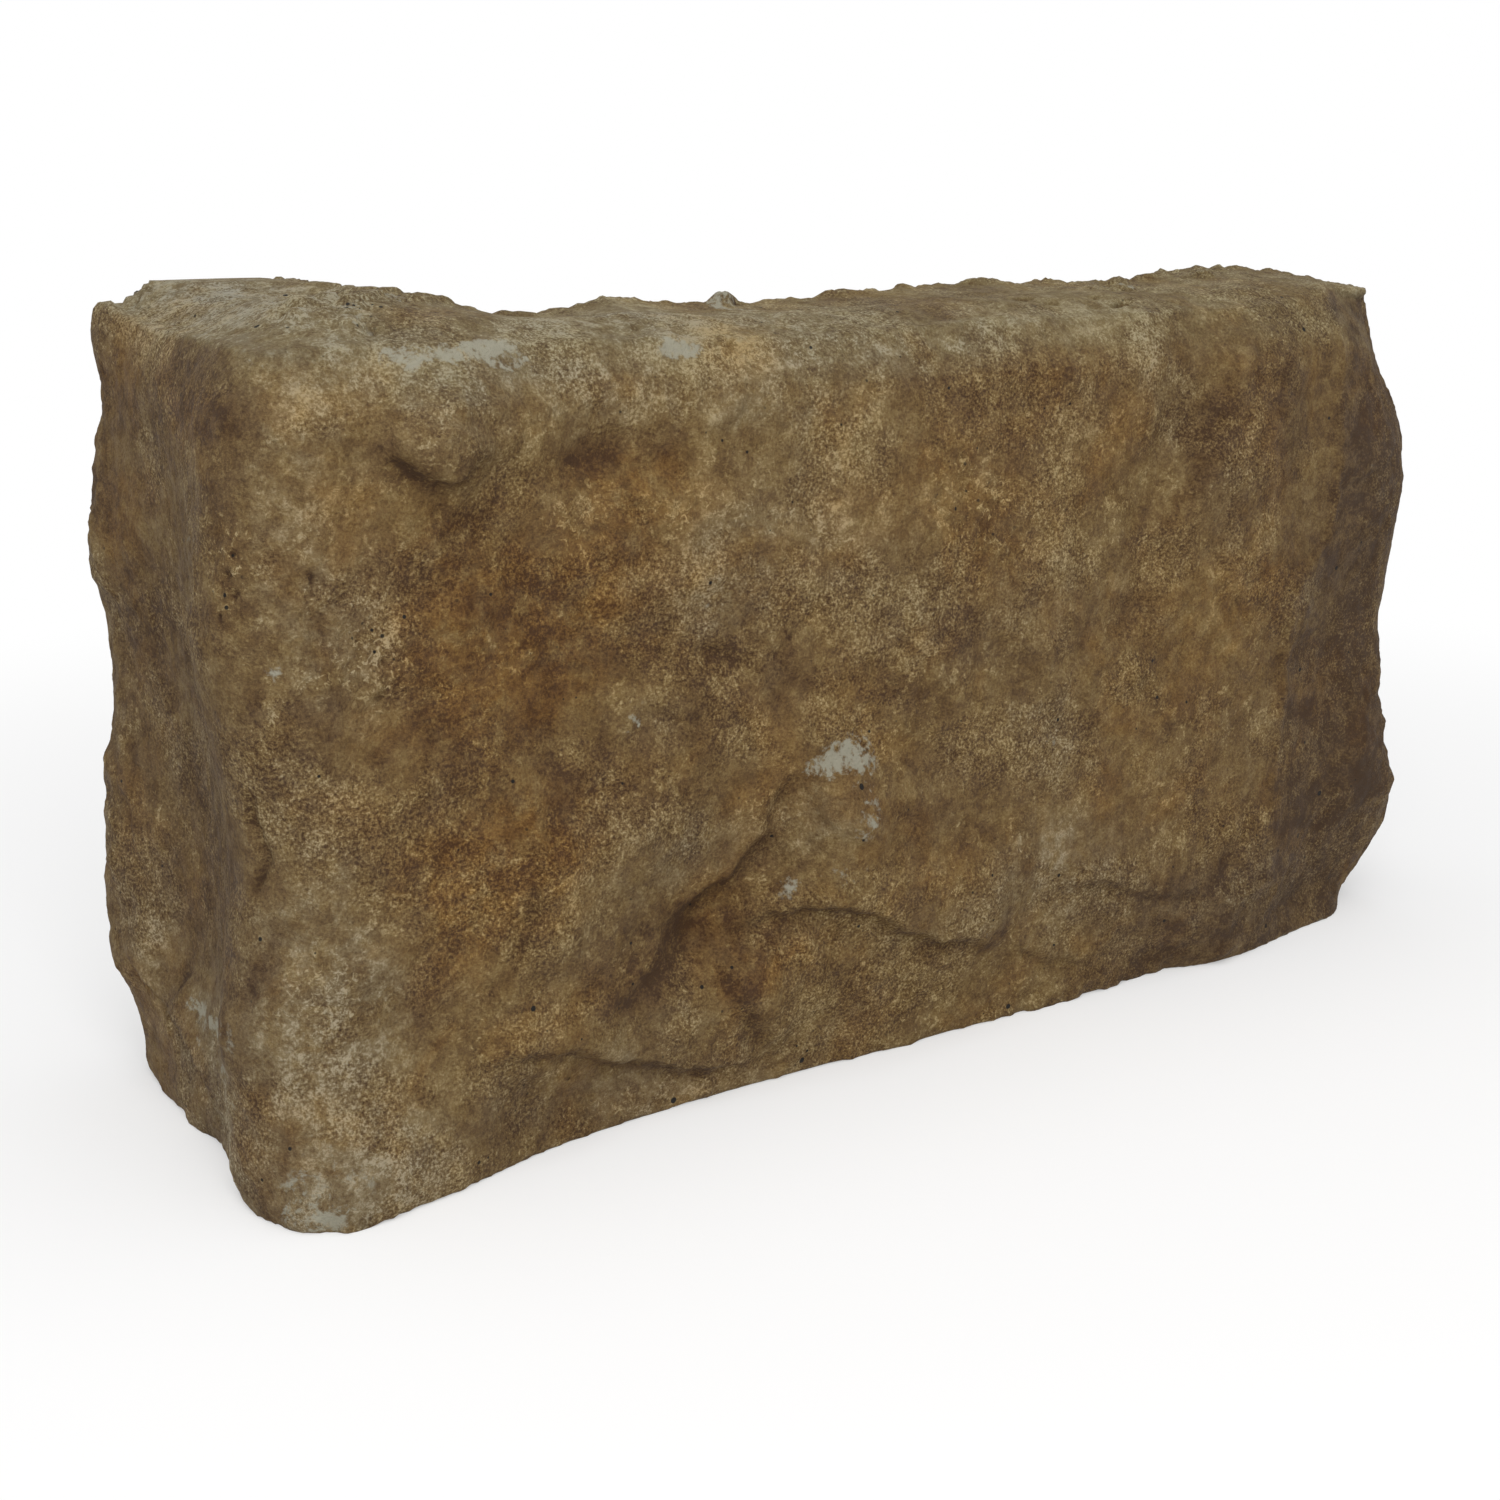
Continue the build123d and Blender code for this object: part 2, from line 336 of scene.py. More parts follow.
STAINS = (
    # dark umber pigment where it lies thick, and painted shade where the ground lies low: the valley, under
    # the ledge and the knob, the hollows and the folds
    *stain_rows(
        LONG,
        UMBER,
        (24, 132, 21, 16, 0.9), (43, 120, 16, 10, 0.6), (1, 106, 20, 10, 0.6), (0, 154, 14, 7, 0.55),
        (31, 165, 10, 4, 0.9), (44, 168, 15, 7, 0.55), (66, 116, 10, 6, 0.8), (-13, 89, 11, 10, 0.55),
        (20, 91, 16, 8, 0.5), (42, 97, 10, 8, 0.4), (168, 177, 20, 8, 0.6), (147, 173, 15, 8, 0.5),
        (117, 177, 18, 7, 0.4), (127, 73, 27, 16, 0.4), (60, 48, 24, 8, 0.75, 25), (48, 42, 15, 10, 0.55),
        (70, 31, 15, 11, 0.6), (76, 42, 17, 8, 0.5), (103, 31, 10, 9, 0.3), (18, 13, 28, 10, 0.55),
        (147, 27, 22, 4, 0.55), (147, 139, 21, 13, 0.35), (92, 117, 18, 13, 0.2), (110, 105, 15, 10, 0.35),
        (-18, 46, 7, 14, 0.4), (-30, 110, 14, 7, 0.35), (215, 5, 34, 10, 0.5), (177, 107, 22, 17, 0.25),
        (203, 133, 18, 8, 0.5, 45), (221, 157, 7, 16, 0.5, -20), (39, 182, 13, 5, 0.35),
        (11, 113, 13, 9, 0.4), (-8, 168, 10, 4, 0.45), (-40, 116, 8, 7, 0.25), (185, 83, 15, 23, 0.25),
        (240, 39, 22, 15, 0.3), (-3, 132, 15, 24, 0.8), (-4, 77, 13, 11, 0.85), (20, 79, 15, 9, 0.7),
        (67, 102, 11, 9, 0.6), (42, 89, 16, 9, 0.55), (105, 66, 9, 14, 0.4), (134, 108, 12, 11, 0.55),
        (132, 48, 12, 8, 0.5), (107, 19, 8, 15, 0.45), (222, 65, 17, 22, 0.35), (-33, 93, 12, 13, 0.45),
        (43, 44, 18, 12, 0.45), (19, 157, 22, 6, 0.4), (-14, 75, 16, 24, 0.3), (250, 90, 16, 40, 0.3),
        (288, 150, 16, 16, 0.3),
    ),
    *stain_rows(
        SHORT,
        UMBER,
        (-20, 181, 25, 12, 0.6), (39, 88, 13, 15, 0.3), (15, 62, 30, 15, 0.6), (23, 120, 14, 21, 0.3),
        (-42, 144, 3, 8, 0.4),
    ),
    # rusty ochre
    *stain_rows(
        LONG,
        OCHRE,
        (33, 149, 13, 9, 0.7), (53, 155, 13, 7, 0.6), (48, 141, 13, 9, 0.4), (12, 120, 13, 9, 0.45),
        (-5, 69, 12, 13, 0.7), (-12, 56, 10, 10, 0.5), (3, 80, 5, 12, 0.4), (-28, 157, 17, 13, 0.35),
        (103, 146, 18, 10, 0.5), (133, 156, 16, 15, 0.5), (147, 131, 17, 13, 0.4),
        (181, 160, 23, 16, 0.35), (206, 108, 18, 17, 0.35), (236, 111, 17, 24, 0.45), (81, 36, 18, 8, 0.5),
        (60, 6, 19, 6, 0.4), (238, 167, 12, 19, 0.3), (95, 102, 18, 15, 0.3), (73, 74, 12, 16, 0.35),
        (130, 51, 21, 8, 0.3), (23, 41, 18, 8, 0.3), (195, 59, 23, 18, 0.25), (-3, 128, 24, 22, 0.8),
        (26, 128, 18, 16, 0.6), (8, 80, 20, 12, 0.7), (72, 187, 8, 5, 0.9), (38, 160, 16, 8, 0.6),
        (60, 56, 10, 9, 0.5),
    ),
    *stain_rows(
        SHORT,
        OCHRE,
        (34, 148, 7, 14, 0.4), (37, 180, 17, 9, 0.35), (31, 16, 12, 16, 0.5), (41, 27, 11, 8, 0.4),
    ),
    *stain_rows(
        TOP,
        OCHRE,
        (73, -45, 11, 7, 0.9),
    ),
    # greyed olive
    *stain_rows(
        LONG,
        OLIVE,
        (-37, 150, 12, 12, 0.4), (-43, 142, 11, 17, 0.3), (-27, 130, 14, 17, 0.5), (-10, 175, 16, 10, 0.5),
        (-37, 175, 10, 12, 0.3), (-42, 98, 8, 14, 0.5), (-37, 75, 12, 16, 0.45), (-39, 48, 17, 16, 0.5),
        (69, 134, 16, 15, 0.55), (64, 149, 11, 9, 0.35), (45, 103, 9, 6, 0.6), (78, 104, 17, 15, 0.4),
        (60, 70, 16, 10, 0.7), (40, 65, 19, 11, 0.4), (29, 47, 19, 10, 0.4), (94, 76, 12, 9, 0.6),
        (109, 135, 24, 10, 0.35), (135, 112, 20, 13, 0.3), (150, 157, 14, 15, 0.3),
        (163, 119, 18, 16, 0.45), (167, 83, 15, 17, 0.6), (179, 43, 27, 15, 0.7), (146, 33, 15, 10, 0.4),
        (213, 162, 21, 14, 0.3), (80, 176, 22, 7, 0.3), (116, 119, 19, 10, 0.3), (237, 75, 25, 18, 0.25),
        (-53, 21, 5, 12, 0.4), (-42, 9, 20, 14, 0.8), (36, 9, 48, 10, 0.7, -6), (230, 22, 48, 14, 0.5),
        (52, 36, 22, 16, 0.4),
    ),
    *stain_rows(
        SHORT,
        OLIVE,
        (9, 108, 36, 34, 0.4), (23, 165, 22, 9, 0.3), (-20, 36, 26, 26, 0.4),
    ),
    # pale bare cement, where the pigment is worn off
    *stain_rows(
        LONG,
        BARE,
        (-45, 127, 2, 2, 0.9), (102, 86, 6, 5, 1), (96, 87, 9, 4, 0.85, 25), (92, 85, 7, 3, 0.5),
        (104, 71, 6, 10, 0.45), (84, 55, 4, 3, 0.55), (95, 57, 8, 4, 0.3), (40, 104, 4, 5, 0.55),
        (44, 98, 2, 4, 0.3), (32, 78, 2, 1, 0.2), (59, 130, 8, 7, 0.25), (161, 126, 5, 4, 0.3),
        (167, 79, 5, 4, 0.3), (148, 31, 5, 3, 0.35), (-29, 63, 2, 2, 0.2), (-46, 5, 4, 3, 0.5),
        (-42, 24, 6, 4, 0.2), (281, 141, 13, 4, 0.25), (293, 149, 6, 9, 0.3), (-12, 189, 5, 2.6, 0.6, -10),
        (-44, 8, 14, 10, 0.5), (3, 190.5, 8, 3, 0.9, 8), (14, 189, 7, 3.6, 0.8, -20),
        (57, 189, 6, 3, 0.9, -10), (66, 187, 6, 2, 0.35, -10), (-43, 190, 4, 2.4, 0.5),
        (-47, 4, 9, 5, 0.6),
    ),
    *stain_rows(
        SHORT,
        BARE,
        (-24, 148, 9, 8, 0.4), (-34, 135, 2, 2, 0.7), (-2, 33, 20, 3, 0.8), (2, 26, 4, 2, 0.6),
        (-44, 123, 1, 11, 0.15), (-30, 36, 14, 20, 0.35),
    ),
    *stain_rows(
        TOP,
        BARE,
        (-46, -36, 11, 1, 0.5), (-40, -43, 2, 0, 0.6), (-10, -45, 6, 2, 0.8), (3, -44, 7, 3, 0.95),
        (12, -43, 7, 5, 0.45), (57, -45, 6, 1, 0.95), (-26, -45, 9, 1, 0.3), (91, -7, 5, 16, 0.9),
        (-17, -31, 5, 7, 0.5), (0, -16, 7, 10, 0.5), (217, -19, 4, 19, 0.7), (254, -12, 3, 9, 0.4),
    ),
    # pale ground: worn patches, and paler ground by the corner's foot and low on the short side
    *stain_rows(
        LONG,
        DUST,
        (19, 184, 15, 5, 0.4), (-4, 183, 14, 5, 0.4), (-46, 48, 17, 26, 0.9), (-36, 26, 22, 20, 0.75),
        (-46, 6, 14, 8, 0.8), (55, 134, 15, 13, 0.7), (33, 178, 18, 9, 0.8), (84, 186, 20, 6, 0.7),
        (122, 183, 16, 8, 0.7), (97, 147, 12, 10, 0.75), (84, 68, 12, 12, 0.6), (136, 76, 10, 10, 0.45),
        (171, 49, 14, 9, 0.6), (31, 21, 15, 7, 0.5), (-24, 130, 10, 13, 0.5), (-38, 120, 9, 12, 0.45),
        (193, 114, 14, 16, 0.4), (199, 176, 16, 9, 0.6), (175, 165, 13, 10, 0.45), (-42, 165, 12, 22, 0.5),
        (-42, 9, 20, 14, 1), (36, 9, 44, 8, 0.4, -6), (-40, 52, 22, 12, 0.6), (-30, 187, 14, 6, 0.7),
        (-46, 52, 8, 11, 0.9), (-27, 52, 14, 9, 0.7), (36, 178, 11, 7, 0.5), (66, 177, 9, 7, 0.4),
        (290, 143, 10, 11, 0.9), (-28, 118, 16, 58, 0.3), (95, 162, 48, 22, 0.3), (27, 153, 15, 9, 0.6),
        (-50, 60, 8, 22, 0.5), (-48, 46, 8, 12, 0.7), (-14, 44, 12, 9, 0.6), (-42, 8, 22, 10, 0.95),
    ),
    *stain_rows(
        SHORT,
        DUST,
        (-44, 10, 15, 14, 1), (-44, 55, 6, 9, 0.9), (-12, 34, 26, 28, 0.8), (-10, 14, 44, 17, 0.95),
        (30, 44, 16, 24, 0.7), (48, 100, 8, 60, 0.5),
    ),
    *stain_rows(
        TOP,
        DUST,
        (-36, -21, 31, 27, 0.4), (42, -33, 51, 18, 0.3), (154, -41, 62, 13, 0.3), (-34, 4, 18, 40, 0.9),
        (-25, 20, 26, 44, 0.95), (60, -32, 60, 16, 0.6),
    ),
    # sand that stands out, with open pores
    *stain_rows(
        LONG,
        ROUGH,
        (27, 163, 7, 5, 0.7), (33, 150, 8, 12, 0.6), (46, 151, 9, 5, 0.5), (17, 121, 10, 7, 0.5),
        (-25, 126, 10, 10, 1), (-37, 142, 4, 6, 0.8), (97, 24, 7, 10, 0.45), (87, 63, 7, 7, 0.4),
        (122, 19, 10, 7, 0.4), (133, 150, 9, 12, 0.9), (147, 140, 12, 13, 0.6), (-40, 60, 9, 30, 0.3),
        (75, 184, 10, 4, 0.6),
    ),
    *stain_rows(
        SHORT,
        ROUGH,
        (-42, 146, 5, 10, 1),
    ),
    *stain_rows(
        END,
        ROUGH,
        (-18, 190, 12, 9, 1),
    ),
    *stain_rows(
        TOP,
        ROUGH,
        (-18, -27, 14, 11, 1), (0, -12, 12, 9, 0.8), (-38, 30, 14, 34, 0.5), (200, -36, 18, 9, 0.6),
        (95, -6, 7, 5, 0.8), (216, -18, 9, 7, 0.9), (60, -36, 20, 9, 0.45), (312, -20, 10, 12, 0.8),
    ),
    # painted shade, the dark slate tone, on the far end and the low chips, and a little on the short side
    *stain_rows(
        LONG,
        SLATE,
        (296, 112, 21, 52, 1), (302, 40, 24, 44, 1), (310, 168, 20, 30, 0.8), (268, 14, 46, 13, 0.75),
        (228, 9, 26, 9, 0.5), (251, 160, 12, 22, 0.45), (233, 150, 22, 26, 0.35), (266, 112, 14, 24, 0.5),
        (235, 22, 36, 14, 0.45),
    ),
    *stain_rows(
        SHORT,
        SLATE,
        (8, 160, 22, 26, 0.3),
    ),
)


class NoiseField:
    """Seeded noise, worked out for all the points at once; every layer has a spread of about 1."""

    def __init__(self, points: np.ndarray) -> None:
        """Keeps the points, in millimetres."""
        self.points = points

    @staticmethod
    def hashed(cells: np.ndarray, seed: int) -> np.ndarray:
        """Gives each whole-numbered cell three fixed numbers.

        Args:
            cells: the cells, three whole numbers each.
            seed: what sets one field apart from another.

        Returns:
            three numbers from 0 to 1 for each cell.
        """
        key = cells[..., 0] * 0x1F1F1F1F + cells[..., 1] * 0x5F356495 + cells[..., 2] * 0x6C8E9CF5
        key = (key + seed * 0x2545F491) & 0xFFFFFFFF
        for _ in range(2):
            key = ((key ^ (key >> 16)) * 0x45D9F3B) & 0xFFFFFFFF
        key ^= key >> 16
        return np.stack([key & 1023, (key >> 10) & 1023, (key >> 20) & 1023], axis=-1) / 1023

    def layer(self, size: float, seed: int) -> np.ndarray:
        """Makes one layer of smooth swells of that size, in millimetres.

        Args:
            size: the size of a swell, in millimetres.
            seed: what sets one field apart from another.

        Returns:
            one value for each point.
        """
        spots = self.points / size + seed * 0.37
        base = np.floor(spots).astype(np.int64)
        part = spots - base
        ease = part**3 * (part * (part * 6 - 15) + 10)
        total = np.zeros(len(spots))
        for corner in np.ndindex(2, 2, 2):
            step = np.array(corner)
            slope = self.hashed(base + step, seed) * 2 - 1
            weight = np.prod(np.where(step, ease, 1 - ease), axis=1)
            total += weight * ((part - step) * slope).sum(axis=1)
        return total * 4.1

    def fractal(self, size: float, seed: int, octaves: int = 3, gain: float = 0.55) -> np.ndarray:
        """Adds finer and finer layers.

        Args:
            size: the size of the largest swells, in millimetres.
            seed: what sets one field apart from another.
            octaves: the number of layers.
            gain: how high each layer is against the one before.

        Returns:
            one value for each point.
        """
        total = sum(gain**i * self.layer(size / 2.1**i, seed + 31 * i) for i in range(octaves))
        return total / math.sqrt(sum(gain ** (2 * i) for i in range(octaves)))

    def scallops(self, size: float, seed: int, warp: float = 0.2) -> np.ndarray:
        """Makes shallow chips that meet in ridges, as where stone was broken off.

        Args:
            size: the size of a chip, in millimetres.
            seed: what sets one field apart from another.
            warp: how far their edges waver, in chips.

        Returns:
            the height for each point, 0 at the middle of a chip and about 2 at its ridge.
        """
        sway = np.stack([self.fractal(size * 0.9, seed + i, 2) for i in (3, 5, 7)], axis=1) * warp
        spots = self.points / size + sway
        base = np.floor(spots).astype(np.int64)
        nearest = np.full(len(spots), 9.0)
        for offset in np.ndindex(3, 3, 3):
            cell = base + np.array(offset) - 1
            middle = cell + self.hashed(cell, seed)
            level = self.hashed(cell, seed + 1)[:, 0] * 0.25
            nearest = np.minimum(nearest, ((spots - middle) ** 2).sum(axis=1) + level)
        return nearest * 3


def squared_reach(mark: Mound | Stain, spots: np.ndarray) -> np.ndarray:
    """Measures how far each spot is from the middle of a mark's ellipse.

    Args:
        mark: the mound or stain.
        spots: the points on its side, two columns.

    Returns:
        the squared distance in half-widths.
    """
    cosine, sine = math.cos(math.radians(mark.turn)), math.sin(math.radians(mark.turn))
    off = spots - mark.at
    across = (off[:, 0] * cosine + off[:, 1] * sine) / mark.reach[0]
    up = (off[:, 1] * cosine - off[:, 0] * sine) / mark.reach[1]
    return across**2 + up**2


@dataclass
class Skin:
    """The fine mesh's points and normals, and what is worked out from them, all in millimetres."""

    points: np.ndarray
    normals: np.ndarray
    wall: np.ndarray
    sway: np.ndarray = field(init=False)
    noise: NoiseField = field(init=False)

    def __post_init__(self) -> None:
        """Makes the noise that all listed marks waver by."""
        self.noise = NoiseField(self.points)
        self.sway = np.stack([self.noise.fractal(9, 11), self.noise.fractal(9, 12)], axis=1)

    def spots(self, side: Side, sway: float) -> np.ndarray:
        """Gives the points' places on a side, moved by so much of the wavering."""
        return self.points[:, side.along] + self.sway * sway

    def facing(self, side: Side) -> np.ndarray:
        """How squarely each point looks out of that side, from 0 to 1."""
        return np.clip(side.outward(self.normals) * 1.6 - 0.35, 0, 1)

    @property
    def top(self) -> np.ndarray:
        """How far each point belongs to the struck top, from 0 to 1."""
        return np.clip(self.normals[:, 2] * 2.4 - 0.6, 0, 1)


@dataclass
class Pigments:
    """Where the stains lie on the skin, as one amount from 0 to 1 for each tint.

    Ground that looks along the long leg takes slate too, as painted shade where it turns from the light:
    much of it at the far end, some at the left.
    """

    stains: tuple[Stain, ...] = STAINS
    waver: float = 0.13
    most_waver: float = 1.6
    # painted shade on the far end's ground and on the left side's
    right_painted_shade: float = 0.9
    left_painted_shade: float = 0.35

    def build(self, skin: Skin) -> dict[str, np.ndarray]:
        """Lays every stain.

        Args:
            skin: the fine mesh's skin.

        Returns:
            each tint's amounts by its name.
        """
        layers = {tint.value: np.zeros(len(skin.points)) for tint in Tint}
        for stain in self.stains:
            loose = min(self.most_waver, self.waver * min(stain.reach))
            far = squared_reach(stain, skin.spots(stain.side, loose))
            form = stain.strength * np.exp(-(far**1.2)) * skin.facing(stain.side)
            layer = layers[stain.tint.value]
            layers[stain.tint.value] = layer + form - layer * form
        layers["struck"] = skin.top
        # painted shade where the ground looks along the long leg, turned from the light
        aside = np.clip(np.abs(skin.normals[:, 0]) * 1.5 - 0.5, 0, 1)
        slate = np.where(skin.normals[:, 0] > 0, self.right_painted_shade, self.left_painted_shade)
        shade = aside * slate * (1 - skin.wall) * (1 - skin.top)
        layers["slate"] = np.maximum(layers["slate"], shade)
        return layers


@dataclass
class Carving:
    """The relief of the casting, worked out at each point of the fine mesh, in millimetres.

    A height comes first, and then the size of its forms. Chips are level at half_chip of their
    height. The foot's edge is ragged up to foot_reach, and hollows grow shallow below footing, so
    that the base stays whole.
    """

    creases: tuple[Crease, ...] = CREASES
    facets: tuple[Facet, ...] = FACETS
    mounds: tuple[Mound, ...] = MOUNDS
    swell: float = 0.45
    swell_size: float = 40
    lump: float = 0.24
    lump_size: float = 13
    chip: float = 0.8
    chip_size: float = 19
    small_chip: float = 0.24
    small_chip_size: float = 7.5
    half_chip: float = 0.75
    grit: float = 0.09
    rough_grit: float = 0.34
    grit_size: float = 3.6
    broken_edge: float = 0.8
    foot_reach: float = 7
    footing: float = 9
    back_height: float = 199
    back_reach: float = 5
    sag: float = 0.16
    sag_size: float = 24
    cast_grain: float = 0.08
    cast_grain_size: float = 3

    def beside(
        self, line_points: tuple[tuple[float, float], ...], spots: np.ndarray
    ) -> tuple[np.ndarray, np.ndarray]:
        """Measures how far each spot is from a line.

        Args:
            line_points: the points that the line runs through.
            spots: the points on the side, two columns.

        Returns:
            the distance, above 0 to the line's left, and how far along the line it is, from 0 to 1.
        """
        best = np.full(len(spots), 1e9)
        signed = np.zeros(len(spots))
        run = np.zeros(len(spots))
        line = np.array(line_points, dtype=float)
        lengths = np.linalg.norm(np.diff(line, axis=0), axis=1)
        gone = 0.0
        for start, end, length in zip(line, line[1:], lengths):
            way = (end - start) / length
            t = np.clip((spots - start) @ way, 0, length)
            off = spots - start - t[:, None] * way
            far = np.linalg.norm(off, axis=1)
            left = way[0] * off[:, 1] - way[1] * off[:, 0]
            near = far < best
            best = np.where(near, far, best)
            signed = np.where(near, np.sign(left) * far, signed)
            run = np.where(near, (gone + t) / lengths.sum(), run)
            gone += length
        return signed, run

    def crease_lift(self, crease: Crease, skin: Skin) -> tuple[np.ndarray, np.ndarray]:
        """Works out one crease.

        Args:
            crease: the crease.
            skin: the fine mesh's skin.

        Returns:
            the lift, and how deep in the groove each point is, from 0 to 1.
        """
        signed, run = self.beside(crease.points, skin.spots(crease.side, 0.55))
        best = np.abs(signed)
        if crease.side is Side.SHORT:
            signed = -signed
        taper = np.clip(np.minimum(run, 1 - run) * 5, 0.0, 1) ** 0.7 * skin.facing(crease.side)
        groove = np.exp(-((best / crease.width) ** 2)) * taper
        ramp = np.clip(signed / crease.width, -1, 1) * 0.5 + 0.5
        lift = crease.step * ramp * np.exp(-((best / crease.fade) ** 2)) * taper
        return lift - crease.depth * groove, groove

    def falls(self, skin: Skin) -> tuple[np.ndarray, np.ndarray]:
        """Works out the facets: their lift, and the painted shade, the slate tint, that they take.

        Args:
            skin: the fine mesh's skin.

        Returns:
            the lift, and the amount of painted shade from 0 to 1.
        """
        total, shade = np.zeros(len(skin.points)), np.zeros(len(skin.points))
        ragged = skin.noise.fractal(14, 97)
        for facet in self.facets:
            signed, run = self.beside(facet.points, skin.spots(facet.side, 0.8))
            within = skin.facing(facet.side) * np.clip(np.minimum(run, 1 - run) * 6, 0, 1)
            total -= np.clip(-signed * facet.fall, 0, facet.most) * within
            dim = np.clip(-signed / 9 + 0.25 + 0.3 * ragged, 0, 1) * np.clip(0.85 + 0.25 * ragged, 0, 1)
            shade = np.maximum(shade, facet.shade * dim * within)
        return total, shade

    def marks(self, skin: Skin) -> tuple[np.ndarray, np.ndarray, np.ndarray]:
        """Works out the listed creases and mounds.

        Args:
            skin: the fine mesh's skin.

        Returns:
            the lift along the normal, and the painted shade of the grooves and hollows and of the pits, from
            0 to 1.
        """
        total, recess_shade = np.zeros(len(skin.points)), np.zeros(len(skin.points))
        pit_shade = np.zeros(len(skin.points))
        for crease in self.creases:
            lifted, groove = self.crease_lift(crease, skin)
            total += lifted
            # grooves take painted shade by their depth
            if crease.depth > 0:
                recess_shade = np.maximum(recess_shade, groove * min(1, crease.depth))
        for mound in self.mounds:
            sway = min(0.45, 0.12 * min(mound.reach))
            far = squared_reach(mound, skin.spots(mound.side, sway))
            form = np.exp(-(far ** (mound.edge / 2))) * skin.facing(mound.side)
            total += mound.rise * form
            # small pits and larger hollows take painted shade
            if mound.rise < 0 and min(mound.reach) < 2:
                pit_shade = np.maximum(pit_shade, form**2)
            elif mound.rise < 0:
                recess_shade = np.maximum(recess_shade, form * min(1, -mound.rise / min(mound.reach)))
        return total, recess_shade, pit_shade

    def chips(self, noise: NoiseField, calm: np.ndarray) -> np.ndarray:
        """Works out the lumps and the scallops that the break left, lower where the face is calm.

        Args:
            noise: the noise at the skin's points.
            calm: how much relief each point takes, from 0 to 1.

        Returns:
            the lift.
        """
        chipped = np.clip(0.55 + 0.5 * noise.layer(46, 61), 0.1, 1.5)
        small = self.lump * noise.fractal(self.lump_size, 43, 3) * calm
        small += self.chip * chipped * (noise.scallops(self.chip_size, 47) - self.half_chip) * calm
        fine = noise.scallops(self.small_chip_size, 53) - self.half_chip
        return small + self.small_chip * fine * np.clip(chipped - 0.3, 0.1, 1.0)

    def sand(self, noise: NoiseField, rough: np.ndarray) -> np.ndarray:
        """Works out the grain, by patches, and the open sand of the rough places."""
        patch = np.clip(0.9 + 0.5 * noise.layer(24, 67), 0.3, 2)
        return (self.grit * patch + self.rough_grit * rough) * noise.fractal(self.grit_size, 71, 3, 0.75)

    def ragged_edges(self, skin: Skin) -> np.ndarray:
        """Works out the ragged edges of the foot and of the top's back.

        Args:
            skin: the fine mesh's skin.

        Returns:
            the lift.
        """
        foot = np.exp(-((skin.points[:, 2] / self.foot_reach) ** 2))
        back = np.exp(-((np.maximum(0, self.back_height - skin.points[:, 2]) / self.back_reach) ** 2))
        inward = np.clip(-np.minimum(skin.points[:, 0], skin.points[:, 1]), 0, 60)
        back *= np.exp(-((inward / self.back_reach) ** 2))
        return self.broken_edge * (foot * skin.noise.fractal(15, 73) + back * skin.noise.fractal(6, 79))

    def build(self, skin: Skin, rough: np.ndarray) -> tuple[np.ndarray, dict[str, np.ndarray]]:
        """Works out all of the relief.

        Args:
            skin: the fine mesh's skin.
            rough: how rough each point is, from 0 to 1.

        Returns:
            the lift along the normal, and the amounts that the finish reads, by name.
        """
        noise, rock = skin.noise, 1 - skin.wall
        marks, recess_shade, pit_shade = self.marks(skin)
        falls, shade = self.falls(skin)
        calm = 1 - 0.55 * skin.top - 0.4 * skin.facing(Side.SHORT)
        small, grit = self.chips(noise, calm), self.sand(noise, rough)
        swells = self.swell * noise.fractal(self.swell_size, 41, 2) * calm
        whole = swells + self.ragged_edges(skin) + marks + falls + small + grit
        whole = np.where(whole < 0, whole * np.clip(skin.points[:, 2] / self.footing, 0.1, 1), whole)
        flat = self.sag * np.abs(noise.fractal(self.sag_size, 83))
        flat += self.cast_grain * np.abs(noise.fractal(self.cast_grain_size, 89))
        grain = small + grit * 2.2
        # the groove and pit amounts and the facets' amount are painted shade
        amounts = {"groove": recess_shade * rock, "painted_pit_shade": pit_shade, "small": grain * rock, "slate": shade * rock}
        return whole * rock - flat * skin.wall, amounts


